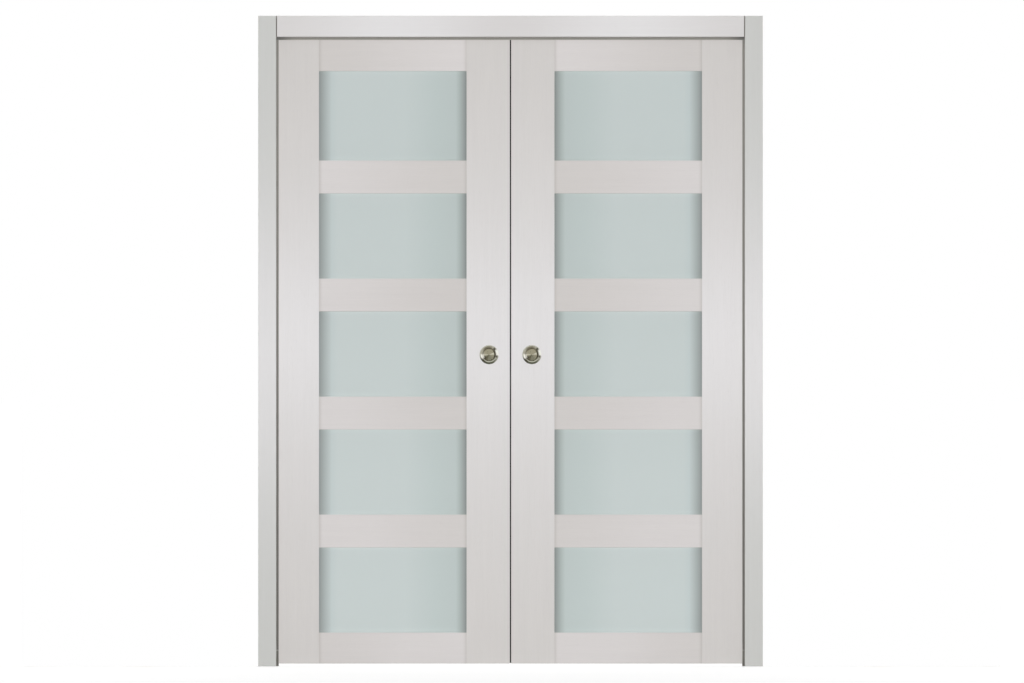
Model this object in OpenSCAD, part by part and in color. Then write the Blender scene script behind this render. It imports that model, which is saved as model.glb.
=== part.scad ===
// Double pocket door: two glazed sliding doors that meet in the middle of a doorway
// and open into pockets in the wall, with the pocket frame, the track and the
// casings of both faces. Sizes are in millimetres. X runs along the wall, Y runs
// through it with the front at minus Y, and Z is up. The origin is on the floor in
// the middle of the doorway. Each half is drawn on the right and mirrored to the left.

/* [Doors] */
// Width of one door
door_w = 762; // [680:1:900]
// Height of one door
door_h = 2032; // [1950:1:2200]
// Thickness of a door
door_t = 40; // [38:0.5:44]
// Gap between the closed doors
meeting_gap = 4.2; // [2:0.1:6]
// Gap between a door and the floor
floor_gap = 8.5; // [6:0.5:15]
// Width of a stile
stile_w = 141; // [132:1:180]
// Height of the top rail
top_rail_h = 104; // [80:1:140]
// Height of each rail between two panes
mid_rail_h = 107; // [60:1:110]
// Height of the bottom rail
bottom_rail_h = 101; // [80:1:180]
// Height of the top pane between its rails
top_lite_h = 291; // [200:1:310]
// Number of equal panes under the top one
lower_lites = 4; // [2:1:5]
// Chamfer along the edges of stiles and rails
arris = 0.5; // [0.2:0.1:1.5]

/* [Glazing] */
// Thickness of the glass
glass_t = 8; // [5:0.5:12]
// Depth of the groove that holds the glass and the rails' tongues
groove_d = 12; // [9:0.5:16]
// How far the glass reaches into the groove
glass_bite = 10; // [6:0.5:11]
// Clearance of glass and tongues in the groove
groove_clear = 0.3; // [0.1:0.05:0.6]

/* [Flush pulls] */
// Outside radius of the pull's ring
pull_r = 31; // [29:0.5:36]
// How far the ring stands out of the door
pull_proud = 1.5; // [1:0.1:1.7]
// Width of the ring's slope, from its crown down to its edge
ring_slope_w = 4.5; // [2:0.5:5]
// Height of the ring's edge on the door
ring_edge_h = 0.4; // [0.2:0.1:0.8]
// Radius of the ring's lip round the cup
ring_lip = 0.8; // [0.3:0.1:1]
// Outside radius of the cup
cup_r = 23.5; // [21:0.5:28]
// Depth of the cup behind the door's face
cup_d = 11; // [8:0.5:14]
// Thickness of the cup's wall and floor
cup_wall = 2; // [1:0.1:2.5]
// Radius between the cup's floor and its wall
cup_fillet = 5; // [2:0.5:6]
// Distance of the pull's centre from the door's leading edge
pull_inset = 67.5; // [55:0.5:80]
// Height of the pull's centre above the floor
pull_z = 1014; // [900:1:1100]

/* [Edge pulls] */
// Length of the edge pull's plate
edge_plate_l = 86; // [84:1:120]
// Width of the edge pull's plate
edge_plate_w = 24; // [22:0.5:30]
// Thickness of the edge pull's plate
edge_plate_t = 1.5; // [1:0.1:3]
// Length of the finger cup outside
edge_cup_l = 70; // [60:1:72]
// Width of the finger cup outside
edge_cup_w = 20; // [17:0.5:21]
// Depth of the finger cup
edge_cup_d = 15; // [12:0.5:18]
// Wall of the finger cup
edge_cup_wall = 2; // [1:0.1:2.5]
// Radius of the plate's two screws
edge_screw_r = 1.5; // [1:0.1:1.6]
// Radius of their countersunk heads
edge_head_r = 3; // [2.5:0.1:3.2]
// Length of the screws
edge_screw_l = 16; // [10:1:20]

/* [Hangers] */
// Distance of a hanger's bolt from the door's edge
hanger_inset = 75; // [65:1:76]
// Length of the plate on the door's top
plate_l = 110; // [100:1:124]
// Width of the plate
plate_w = 30; // [26:0.5:36]
// Thickness of the plate
plate_t = 3; // [2:0.5:4]
// Distance of the plate's screws from its middle, along it
plate_screw_x = 42; // [36:1:45]
// Distance of the plate's screws from its middle, across it
plate_screw_y = 8; // [5:0.5:9]
// Radius of the hanger bolt
bolt_r = 4; // [3:0.25:5]
// How deep the hanger bolt reaches into the door
bolt_sink = 20; // [12:1:30]
// Width across the flats of the adjusting nuts
nut_af = 13; // [12:0.5:15]
// Height of the adjusting nut on the plate
nut_h = 6.5; // [5:0.5:7]
// Height of the lock nut above it
lock_nut_h = 3; // [2:0.5:3.5]
// Length of a trolley's body
trolley_l = 66; // [64:1:72]
// Thickness of a trolley's body
trolley_t = 12; // [11.5:0.5:12.5]
// Height of a trolley's body
trolley_h = 18; // [15:0.5:20]
// Distance between a trolley's axles
axle_spacing = 40; // [30:1:42]
// Radius of an axle
axle_r = 2.5; // [2:0.1:3]
// Radius of a wheel
wheel_r = 11; // [10:0.25:12]
// Width of a wheel
wheel_w = 6.3; // [5:0.1:6.5]

/* [Track] */
// Width of the track
track_w = 32; // [32:0.5:38]
// Height of the track
track_h = 36; // [35:0.5:42]
// Thickness of the track's top and sides
track_wall = 2; // [1.5:0.1:2.2]
// Thickness of the rails that the wheels run on
track_rail_t = 2.5; // [2:0.1:3.5]
// Width of the slot between the rails
track_slot = 13; // [11:0.5:14]
// Gap between a door's top and the track
track_gap = 17.5; // [17:0.5:24]
// Number of screws that hold the track
track_screws_n = 11; // [7:2:15]
// Distance of the last screws from the track's ends
track_screw_end = 40; // [30:1:60]
// Radius of the screws in the track and the plates
screw_r = 2; // [1.5:0.1:2.2]
// Radius of the screws' heads
screw_head_r = 3.8; // [3.5:0.1:4.5]
// Height of the screws' heads
screw_head_h = 2.2; // [1.5:0.1:2.4]
// Depth of the screws in the wood
screw_depth = 22; // [15:1:30]
// Half the length of the stop's block in the middle of the track
stop_block = 31.5; // [20:0.5:35]

/* [Wall] */
// Depth of the wall's studs
stud_d = 89; // [89:1:140]
// Thickness of the wallboard on each face, which the casings cover
board_t = 12.7; // [9.5:0.1:15.9]
// Width of the slot that a door slides in
slot_w = 52; // [52:0.5:60]

/* [Jambs and seals] */
// Thickness of the side and head jambs
jamb_t = 18; // [15:0.5:22]
// How far a closed door stays inside its pocket
jamb_lap = 2.1; // [1:0.1:20]
// Gap between a door's top and the head jambs
head_gap = 7; // [6:0.5:12]
// How far the side seals stand into the doorway
side_seal_show = 7.5; // [5:0.5:12]
// How far the head seals hang into the doorway
head_seal_show = 9.5; // [8:0.5:14]
// Thickness of a seal
seal_t = 4; // [3:0.1:4.2]
// Thickness of a seal's pile at its free edge
seal_tip_t = 3; // [2:0.1:3]
// Width of a seal's carrier on its jamb
seal_carrier = 13.5; // [8:0.5:15]

/* [Casings] */
// Width of a side casing
casing_w = 58.5; // [50:0.5:90]
// Height of the head casing
head_casing_h = 68.5; // [50:0.5:90]
// Thickness of the casings
casing_t = 12; // [10:0.5:20]
// Radius of a casing's front edges
casing_ease = 3; // [1:0.5:4]
// Depth of the relief along a casing's back
relief_d = 1.5; // [0.5:0.1:3]
// Width of the land at a casing's outer edge, which lies on the wall
wall_land = 12; // [8:0.5:20]
// How far the inner land reaches past the jamb that it lies on
jamb_land_past = 3; // [1:0.5:6]
// Open joint between the head casing and a side casing
casing_joint = 2.6; // [0.5:0.1:3]
// Thickness of the head casing's tongues, which close that joint from behind
joint_tongue_t = 5; // [3:0.5:8]

/* [Pockets] */
// How far each door slides
travel = 750; // [600:1:760]
// Width of a split stud
split_w = 58; // [45:0.5:70]
// Sheet of the channel around a split stud
channel_t = 1; // [0.8:0.1:1.5]
// Width of the stud at the back of a pocket
back_stud_w = 38; // [35:0.5:45]
// Height of the header board
header_h = 38; // [35:0.5:60]
// Length of a bumper at the back of a pocket
bumper_l = 21; // [15:0.5:35]
// Radius of a bumper's base
bumper_r = 14; // [12:0.5:18]
// Heights of a pocket's bumpers above the floor
bumper_zs = [300, 1750];
// Radius of the holes through a back stud
stud_hole_r = 3.5; // [2.5:0.25:5]
// Distance across the wall between those holes
stud_hole_y = 50; // [40:1:60]
// Height of the lower holes
stud_hole_low = 150; // [100:5:250]
// Distance up the stud between the holes
stud_hole_span = 1700; // [1500:10:1750]

/* [Brackets and guides] */
// Sheet of the floor brackets
floor_sheet = 1.5; // [1:0.1:2.5]
// Height of a floor bracket's lugs
lug_h = 30; // [20:1:40]
// Distance between a floor bracket's screw holes
floor_hole_span = 36; // [26:1:40]
// Radius of those holes
floor_hole_r = 2.6; // [2:0.1:3.5]
// Sheet of the header brackets
bracket_sheet = 2; // [1.5:0.1:3]
// Reach of a header bracket's ledge under the board
ledge_l = 40; // [30:1:60]
// How far a header bracket's plate hangs below its ledge
bracket_drop = 40; // [20:1:60]
// Height of a door guide
guide_h = 52; // [30:1:80]
// Gap between a door guide and the door
guide_clear = 0.6; // [0.4:0.1:1]

/* [Hidden] */

// Facets asked of every round form
$fn = 48;
// Clearance of a pin or screw in its hole, on the radius
pin_clear = 0.05;
// Clearance of a cup in its hole, on the radius and in depth
cup_clear = 0.3;
// Clearance between pieces that move past each other
run_clear = 0.3;
// Clearance at the ends of fitted lengths
end_clear = 0.2;
// Length that a cutting solid runs past the face that it opens
past = 1;
// Space beyond the end of a screw, a bolt or the track
end_room = 2;
// Depth of a trolley's bore for the hanger bolt
bolt_seat = 13;
// How far an axle's head stands out round the axle, and its thickness
axle_head_lip = 1.1;
axle_head_t = 0.6;
// Gaps between trolley and wheel, and between wheel and axle head
wheel_gap = 0.5;
wheel_play = 0.1;
// Widths of a wheel's hub and of its rim round the dish, and the dish's depth
hub_w = 2.5;
rim_w = 2;
dish_d = 1.2;
// Radius of a wheel's outer edges
tread_round = 1;
// Radii of a stop's pad where it starts and where it meets a trolley
pad_r = 8;
pad_tip_r = 6;
// Corner radius of a hanger plate
plate_corner = 5;
// Room between the ledge of a header bracket and the header nailers
ledge_room = 2;
// Distance of a header bracket's screw holes from its edges, and of its gussets' corners
bracket_hole_inset = 10;
gusset_inset = 4;
// Distance of a floor bracket's lugs from its ends
lug_inset = 4;
// Arms of the cross recess in an edge pull's screw: length from tip to tip, width and depth
recess_l = 2.8;
recess_w = 0.8;
recess_d = 0.9;
// Thickness of a bumper's flange, and the heights of the slope over it and of the one under its tip
flange_t = 4;
flange_slope = 1;
tip_h = 3;
// A bumper's radii as shares of its flange's: over the flange's slope, under the tip's, and at the tip
bumper_base = 0.8;
bumper_neck = 0.65;
bumper_tip = 0.45;
// Room round a hanger bolt in the door's hole for it
bolt_room = 1;

// Colours
paint = [0.86, 0.85, 0.83];
trim_paint = [0.84, 0.84, 0.83];
frost = [0.76, 0.80, 0.79];
nickel = [0.62, 0.60, 0.55];
steel = [0.66, 0.68, 0.70];
aluminium = [0.75, 0.76, 0.77];
pine = [0.80, 0.66, 0.46];
pile = [0.22, 0.22, 0.22];
rubber = [0.12, 0.12, 0.12];
nylon = [0.90, 0.90, 0.86];

// Door edges and heights
lead_x = meeting_gap / 2;
rear_x = lead_x + door_w;
door_low = floor_gap;
door_top = floor_gap + door_h;
face_y = door_t / 2;

// Panes and rails: the low edge of each pane's opening, from the top one down
lite_w = door_w - 2 * stile_w;
lower_lite_h = (door_h - top_rail_h - bottom_rail_h - top_lite_h - lower_lites * mid_rail_h)
  / lower_lites;
lite_step = lower_lite_h + mid_rail_h;
top_lite_low = door_top - top_rail_h - top_lite_h;
mid_rail_lows = [for (i = [0:lower_lites - 1]) top_lite_low - mid_rail_h - i * lite_step];
groove_w = glass_t + 2 * groove_clear;

// Doorway and wall
half_open = rear_x - jamb_lap;
head_z = door_top + head_gap;
slot_y = slot_w / 2;
stud_y = stud_d / 2;
wall_y = stud_y + board_t;
casing_top = head_z + head_casing_h;

// Track and trolleys
track_low = door_top + track_gap;
track_top = track_low + track_h;
rail_z = track_low + track_rail_t;
axle_z = rail_z + run_clear + wheel_r;
trolley_low = axle_z - trolley_h / 2;
axle_head_r = axle_r + axle_head_lip;
wheel_in = trolley_t / 2 + wheel_gap;
wheel_out = wheel_in + wheel_w;
head_in = wheel_out + wheel_play;
bolt_xs = [lead_x + hanger_inset, rear_x - hanger_inset];
axle_xs = [for (b = bolt_xs, s = [-1, 1]) b + s * axle_spacing / 2];

// Pocket frame
mouth_x = half_open + jamb_t;
back_x = rear_x + travel + end_clear + bumper_l;
outer_x = back_x + back_stud_w;
header_low = track_top;
header_top = header_low + header_h;
header_x = back_x - bracket_sheet;
track_x = header_x - ledge_l - end_room;
nailer_low = head_z + jamb_t;
split_low = floor_sheet;
split_xs = [mouth_x, (mouth_x + split_w + back_x - split_w) / 2];
split_t = stud_y - slot_y;
screw_xs = [for (i = [0:track_screws_n - 1])
  (track_x - track_screw_end) * (2 * i / (track_screws_n - 1) - 1)];

// Mirrors what is drawn on the right to the left
module left() mirror([1, 0, 0]) children();

// Draws on both sides of the doorway
module both_sides() { children(); left() children(); }

// Draws at the back and at the front of the wall
module both_faces() { children(); mirror([0, 1, 0]) children(); }

// Extrudes an outline given in Y and Z along X, from one place to another
module along_x(from, to) translate([from, 0, 0]) rotate([90, 0, 90]) linear_extrude(to - from) children();

// A slot shape, round at both ends, lying along X
module stadium(length, width) {
  square([length - width, width], center = true);
  for (s = [-1, 1]) translate([s * (length - width) / 2, 0]) circle(d = width);
}

// A rectangle with chamfered corners, from one corner to the other
module chamfered(low, high, c) {
  polygon([
    [low.x + c, low.y], [high.x - c, low.y], [high.x, low.y + c], [high.x, high.y - c],
    [high.x - c, high.y], [low.x + c, high.y], [low.x, high.y - c], [low.x, low.y + c],
  ]);
}

// Casing section: u from the opening outwards, v from the wall outwards. The front edges
// are round, and the back is relieved between its two lands.
module casing_section(width) {
  inner_land = jamb_t + jamb_land_past;
  difference() {
    union() {
      square([width, casing_t - casing_ease]);
      translate([casing_ease, 0]) square([width - 2 * casing_ease, casing_t]);
      for (u = [casing_ease, width - casing_ease])
        translate([u, casing_t - casing_ease]) circle(casing_ease);
    }
    translate([inner_land, -past]) square([width - inner_land - wall_land, relief_d + past]);
  }
}

module side_casing() color(trim_paint)
  translate([half_open, wall_y, 0]) linear_extrude(casing_top) casing_section(casing_w);

// Head casing, with a tongue at each end that meets the side casing
module head_casing() color(trim_paint) translate([0, wall_y, head_z]) rotate([0, -90, 0]) {
  linear_extrude(2 * (half_open - casing_joint), center = true) casing_section(head_casing_h);
  linear_extrude(2 * half_open, center = true) intersection() {
    casing_section(head_casing_h);
    square([head_casing_h, joint_tongue_t]);
  }
}

// Split side jambs, a strip on each side of the slot
module side_jambs() color(paint) both_sides() both_faces()
  translate([half_open, slot_y, 0]) cube([jamb_t, wall_y - slot_y, head_z]);

// Split head jambs, resting on the side jambs
module head_jambs() color(paint) both_faces()
  translate([-half_open - jamb_t, slot_y, head_z])
    cube([2 * (half_open + jamb_t), wall_y - slot_y, jamb_t]);

// Seal section: u from its free edge to the end of its carrier, v towards the door
module seal_section(show) {
  polygon([
    [0, seal_t], [show + seal_carrier, seal_t], [show + seal_carrier, 0], [show, 0],
    [show / 2, seal_t - seal_tip_t], [0, seal_t - seal_tip_t],
  ]);
}

module side_seals() color(pile) both_sides() both_faces()
  translate([half_open - side_seal_show, slot_y - seal_t, guide_h + past])
    linear_extrude(head_z - head_seal_show - end_clear - guide_h - past)
      seal_section(side_seal_show);

module head_seals() color(pile) both_faces()
  translate([0, slot_y - seal_t, head_z - head_seal_show]) rotate([0, -90, 0])
    linear_extrude(2 * half_open, center = true) seal_section(head_seal_show);

// Guides that keep a door's foot in the middle of the slot, under the side seals
module door_guides() {
  depth = slot_y - face_y - guide_clear;
  nose = depth / 2;
  color(rubber) both_sides() both_faces()
    translate([half_open - side_seal_show, slot_y - depth, 0]) linear_extrude(guide_h)
      polygon([
        [0, depth], [0, nose], [nose, 0], [side_seal_show + seal_carrier - nose, 0],
        [side_seal_show + seal_carrier, nose], [side_seal_show + seal_carrier, depth],
      ]);
}

// Header board over the track, drilled for the track's screws
module header_board() color(pine) difference() {
  translate([-header_x, -stud_y, header_low]) cube([2 * header_x, stud_d, header_h]);
  for (x = screw_xs) translate([x, 0, header_low - past])
    cylinder(r = screw_r + pin_clear, h = screw_depth + 2 * past);
}

// Strips under the header board that the head jambs and split studs are fixed to
module header_nailers() color(pine) both_faces()
  translate([-header_x, slot_y, nailer_low])
    cube([2 * header_x, split_t, header_low - nailer_low]);

// Angle brackets that hang the header between the back studs
module header_brackets() {
  plate_low = header_low - bracket_sheet - bracket_drop;
  ledge_y = slot_y - ledge_room;
  color(steel) both_sides() {
    difference() {
      translate([header_x, -ledge_y, plate_low])
        cube([bracket_sheet, 2 * ledge_y, header_top - plate_low]);
      for (y = [-1, 1], z = [bracket_hole_inset, bracket_drop - bracket_hole_inset])
        translate([header_x - past, y * ledge_y / 2, plate_low + z]) rotate([0, 90, 0])
          cylinder(r = screw_r, h = bracket_sheet + 2 * past);
    }
    translate([header_x - ledge_l, -ledge_y, header_low - bracket_sheet])
      cube([ledge_l, 2 * ledge_y, bracket_sheet]);
    // gussets between plate and ledge
    for (y = [-ledge_y, ledge_y - bracket_sheet]) translate([0, y, 0]) rotate([90, 0, 0])
      mirror([0, 0, 1]) linear_extrude(bracket_sheet) polygon([
        [header_x, header_low - bracket_sheet], [header_x, plate_low + gusset_inset],
        [header_x - ledge_l + gusset_inset, header_low - bracket_sheet],
      ]);
  }
}

// Box track, open below between its two rails, with a hole for each screw
module track() color(aluminium) difference() {
  along_x(-track_x, track_x) difference() {
    translate([-track_w / 2, track_low]) square([track_w, track_h]);
    translate([-track_w / 2 + track_wall, rail_z])
      square([track_w - 2 * track_wall, track_top - track_wall - rail_z]);
    translate([-track_slot / 2, track_low - past]) square([track_slot, track_rail_t + 2 * past]);
  }
  for (x = screw_xs) translate([x, 0, track_top - track_wall - past])
    cylinder(r = screw_r + pin_clear, h = track_wall + 2 * past);
}

// A screw pointing up, its head's top face at the origin
module pan_screw(grip) {
  cylinder(r = screw_r, h = grip);
  translate([0, 0, -screw_head_h / 2]) cylinder(r = screw_head_r, h = screw_head_h / 2);
  translate([0, 0, -screw_head_h])
    cylinder(r1 = screw_head_r - screw_head_h / 2, r2 = screw_head_r, h = screw_head_h / 2);
}

module track_screws() color(steel) for (x = screw_xs)
  translate([x, 0, track_top - track_wall]) pan_screw(track_wall + screw_depth);

// Stop in the middle of the track, with a pad for each door's leading trolley
module centre_stop() {
  pad_end = lead_x + hanger_inset - trolley_l / 2 - run_clear;
  stop_y = track_w / 2 - track_wall - end_room;
  stop_h = trolley_h + end_room;
  color(rubber) {
    difference() {
      translate([-stop_block, -stop_y, rail_z]) cube([2 * stop_block, 2 * stop_y, stop_h]);
      translate([0, 0, rail_z - past]) cylinder(r = screw_r + pin_clear, h = stop_h / 2 + past);
    }
    both_sides() translate([stop_block, 0, axle_z]) rotate([0, 90, 0])
      cylinder(r1 = pad_r, r2 = pad_tip_r, h = pad_end - stop_block);
    // clamping screw, reached through the slot
    translate([0, 0, track_low - end_room]) {
      cylinder(r = screw_r, h = end_room + track_rail_t + stop_h / 2 - past);
      translate([0, 0, -screw_head_h]) cylinder(r = screw_head_r, h = screw_head_h);
    }
  }
}

// Split studs, two pairs to a pocket, which carry the wallboard beside the slot
module split_studs() color(pine) both_faces() for (x = split_xs)
  translate([x + channel_t, slot_y + channel_t, split_low])
    cube([split_w - 2 * channel_t, split_t - channel_t, nailer_low - split_low]);

// Steel channels round the split studs, open towards the wallboard
module stud_channels() color(steel) both_sides() both_faces() for (x = split_xs)
  translate([x, slot_y, split_low]) linear_extrude(nailer_low - split_low) difference() {
    square([split_w, split_t]);
    translate([channel_t, channel_t]) square([split_w - 2 * channel_t, split_t]);
  }

// Stud at the back of a pocket, drilled for the bolts that hold the whole frame
module back_stud() color(pine) difference() {
  translate([back_x, -stud_y, 0]) cube([back_stud_w, stud_d, header_top]);
  for (y = [-1, 1], z = [stud_hole_low, stud_hole_low + stud_hole_span])
    translate([back_x - past, y * stud_hole_y / 2, z]) rotate([0, 90, 0])
      cylinder(r = stud_hole_r, h = back_stud_w + 2 * past);
}

// Brackets on the floor that tie each pair of split studs together
module floor_brackets() color(steel) both_sides() for (x = split_xs) difference() {
  union() {
    translate([x, -stud_y, 0]) cube([split_w, stud_d, floor_sheet]);
    both_faces() translate([x + lug_inset, slot_y - floor_sheet, 0])
      cube([split_w - 2 * lug_inset, floor_sheet, floor_sheet + lug_h]);
  }
  for (s = [-1, 1]) translate([x + (split_w + s * floor_hole_span) / 2, 0, -past])
    cylinder(r = floor_hole_r, h = floor_sheet + 2 * past);
}

// Rubber bumpers that an open door meets
module pocket_bumpers() color(rubber) both_sides() for (z = bumper_zs)
  translate([back_x, 0, z]) rotate([0, -90, 0]) rotate_extrude()
    polygon([
      [0, 0], [bumper_r, 0], [bumper_r, flange_t], [bumper_r * bumper_base, flange_t + flange_slope],
      [bumper_r * bumper_neck, bumper_l - tip_h], [bumper_r * bumper_tip, bumper_l], [0, bumper_l],
    ]);

// Stile section from its plain edge to its grooved edge, along X
module stile_section() difference() {
  chamfered([0, -face_y], [stile_w, face_y], arris);
  translate([stile_w - groove_d, -groove_w / 2]) square([groove_d + past, groove_w]);
}

// Holes in a door's top for one hanger: the bolt's and its plate's screws'
module hanger_holes() {
  translate([0, 0, door_top - bolt_sink - end_room])
    cylinder(r = bolt_r + bolt_room, h = bolt_sink + end_room + past);
  for (x = [-1, 1], y = [-1, 1])
    translate([x * plate_screw_x, y * plate_screw_y, door_top - screw_depth - past])
      cylinder(r = screw_r + pin_clear, h = screw_depth + 2 * past);
}

// Stile at the leading edge, with the hollows for its three pulls
module lead_stile() color(paint) difference() {
  translate([lead_x, 0, door_low]) linear_extrude(door_h) stile_section();
  translate([bolt_xs[0], 0, 0]) hanger_holes();
  both_faces() translate([lead_x + pull_inset, face_y + past, pull_z]) rotate([90, 0, 0])
    cylinder(r = cup_r + cup_clear, h = cup_d + cup_clear + past);
  edge_pull_shape(edge_plate_l, edge_plate_w, edge_plate_t, cup_clear, past);
  edge_pull_shape(edge_cup_l, edge_cup_w, edge_cup_d, cup_clear, past);
  at_edge_screws() cylinder(r = edge_screw_r + pin_clear, h = edge_screw_l + end_room);
}

// Stile at the rear edge
module rear_stile() color(paint) difference() {
  translate([rear_x, 0, door_low]) linear_extrude(door_h) mirror([1, 0]) stile_section();
  translate([bolt_xs[1], 0, 0]) hanger_holes();
}

// Rail between the stiles, grooved below and, where asked, above
module rail(low, height, groove_above, groove_below) {
  left_x = lead_x + stile_w;
  tongue = groove_d - groove_clear;
  tongue_t = groove_w - 2 * groove_clear;
  tongue_low = low + (groove_below ? groove_d : 0);
  tongue_top = low + height - (groove_above ? groove_d : 0);
  color(paint) {
    along_x(left_x, left_x + lite_w) difference() {
      chamfered([-face_y, low], [face_y, low + height], arris);
      if (groove_below) translate([-groove_w / 2, low - past]) square([groove_w, groove_d + past]);
      if (groove_above) translate([-groove_w / 2, low + height - groove_d])
        square([groove_w, groove_d + past]);
    }
    along_x(left_x - tongue, left_x + lite_w + tongue)
      translate([-tongue_t / 2, tongue_low]) square([tongue_t, tongue_top - tongue_low]);
  }
}

module top_rail() rail(door_top - top_rail_h, top_rail_h, false, true);
module mid_rails() for (z = mid_rail_lows) rail(z, mid_rail_h, true, true);
module bottom_rail() rail(door_low, bottom_rail_h, true, false);

// Panes, each held in the grooves around it
module glass() {
  lows = concat([top_lite_low], [for (z = mid_rail_lows) z - lower_lite_h]);
  color(frost) for (i = [0:lower_lites])
    translate([lead_x + stile_w - glass_bite, -glass_t / 2, lows[i] - glass_bite])
      cube([lite_w + 2 * glass_bite, glass_t, (i == 0 ? top_lite_h : lower_lite_h) + 2 * glass_bite]);
}

// Flush pull: r from its axis, v outwards from the door's face. The ring is level from its
// lip to its crown, and then slopes along an arc down to its edge.
module pull_section() {
  well_r = cup_r - cup_wall;
  floor_v = cup_wall - cup_d;
  crown_r = pull_r - ring_slope_w;
  slope_h = pull_proud - ring_edge_h;
  slope_r = (pow(ring_slope_w, 2) + pow(slope_h, 2)) / (2 * slope_h);
  difference() {
    union() {
      translate([0, -cup_d]) square([cup_r, cup_d]);
      square([crown_r, pull_proud]);
      intersection() {
        translate([crown_r, pull_proud - slope_r]) circle(slope_r);
        square([pull_r, pull_proud]);
      }
    }
    translate([0, floor_v]) square([well_r - cup_fillet, cup_d + past + pull_proud]);
    translate([0, floor_v + cup_fillet]) square([well_r, cup_d + past + pull_proud]);
    translate([well_r - cup_fillet, floor_v + cup_fillet]) circle(cup_fillet);
    difference() {
      translate([well_r - past, pull_proud - ring_lip]) square([ring_lip + past, ring_lip + past]);
      translate([well_r + ring_lip, pull_proud - ring_lip]) circle(ring_lip);
    }
  }
}

module flush_pull() color(nickel)
  translate([lead_x + pull_inset, face_y, pull_z]) rotate([-90, 0, 0]) rotate_extrude() pull_section();

// A slot-shaped block let into the leading edge, with a clearance all round
module edge_pull_shape(length, width, depth, clear, out) {
  translate([lead_x - out, 0, pull_z]) rotate([0, 90, 0])
    linear_extrude(depth + clear + out) stadium(length + 2 * clear, width + 2 * clear);
}

// At the middle of each screw head in the edge pull, between its cup's end and its own, Z inwards
module at_edge_screws() for (side = [-1, 1])
  translate([lead_x, 0, pull_z + side * (edge_cup_l + edge_plate_l) / 4]) rotate([0, 90, 0])
    children();

// Head of an edge pull's screw, or its countersink
module edge_screw_head(clear)
  cylinder(r1 = edge_head_r + clear, r2 = edge_screw_r + clear, h = edge_plate_t);

// Edge pull: a plate with a finger cup, screwed on flush with the leading edge
module edge_pull() color(nickel) {
  difference() {
    union() {
      edge_pull_shape(edge_plate_l, edge_plate_w, edge_plate_t, 0, 0);
      edge_pull_shape(edge_cup_l, edge_cup_w, edge_cup_d, 0, 0);
    }
    edge_pull_shape(edge_cup_l - 2 * edge_cup_wall, edge_cup_w - 2 * edge_cup_wall,
      edge_cup_d - edge_cup_wall, 0, past);
    at_edge_screws() {
      translate([0, 0, -past]) cylinder(r = edge_head_r + pin_clear, h = past);
      edge_screw_head(pin_clear);
      translate([0, 0, edge_plate_t]) cylinder(r = edge_screw_r + pin_clear, h = past);
    }
  }
  at_edge_screws() difference() {
    union() {
      edge_screw_head(0);
      translate([0, 0, edge_plate_t]) cylinder(r = edge_screw_r, h = edge_screw_l - edge_plate_t);
    }
    for (turn = [0, 90]) rotate([0, 0, turn])
      translate([-recess_l / 2, -recess_w / 2, -past]) cube([recess_l, recess_w, past + recess_d]);
  }
}

// Plates on the door's top
module hanger_plates() color(steel) for (x = bolt_xs) translate([x, 0, door_top]) difference() {
  linear_extrude(plate_t) hanger_plate_outline();
  translate([0, 0, -past]) cylinder(r = bolt_r + cup_clear, h = plate_t + 2 * past);
  for (sx = [-1, 1], sy = [-1, 1]) translate([sx * plate_screw_x, sy * plate_screw_y, -past])
    cylinder(r = screw_r + pin_clear, h = plate_t + 2 * past);
}

// A plate's outline, a rectangle with round corners
module hanger_plate_outline() {
  square([plate_l - 2 * plate_corner, plate_w], center = true);
  square([plate_l, plate_w - 2 * plate_corner], center = true);
  for (x = [-1, 1], y = [-1, 1])
    translate([x * (plate_l / 2 - plate_corner), y * (plate_w / 2 - plate_corner)])
      circle(plate_corner);
}

module hanger_screws() color(steel) for (x = bolt_xs, sx = [-1, 1], sy = [-1, 1])
  translate([x + sx * plate_screw_x, sy * plate_screw_y, door_top + plate_t]) mirror([0, 0, 1])
    pan_screw(plate_t + screw_depth - past);

// Hanger bolts, each with an adjusting nut on the plate and a lock nut above it
module hanger_bolts() color(steel) for (x = bolt_xs) translate([x, 0, 0]) {
  bolt_low = door_top - bolt_sink;
  translate([0, 0, bolt_low]) cylinder(r = bolt_r, h = trolley_low + bolt_seat - past - bolt_low);
  translate([0, 0, door_top + plate_t]) cylinder(d = nut_af / cos(30), h = nut_h, $fn = 6);
  translate([0, 0, door_top + plate_t + nut_h + end_clear])
    cylinder(d = nut_af / cos(30), h = lock_nut_h, $fn = 6);
}

// Trolley bodies, bored for their axles and for the hanger bolt
module trolleys() color(steel) for (x = bolt_xs) translate([x, 0, axle_z]) difference() {
  rotate([90, 0, 0]) linear_extrude(trolley_t, center = true) difference() {
    stadium(trolley_l, trolley_h);
    for (s = [-1, 1]) translate([s * axle_spacing / 2, 0]) circle(axle_r + pin_clear);
  }
  translate([0, 0, -trolley_h / 2 - past]) cylinder(r = bolt_r + pin_clear, h = bolt_seat + past);
}

// Axles with a head at each end
module axles() color(steel) for (x = axle_xs) translate([x, 0, axle_z]) rotate([90, 0, 0]) {
  cylinder(r = axle_r, h = 2 * head_in, center = true);
  for (s = [-1, 1]) translate([0, 0, s * (head_in + axle_head_t / 2)])
    cylinder(r = axle_head_r, h = axle_head_t, center = true);
}

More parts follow.
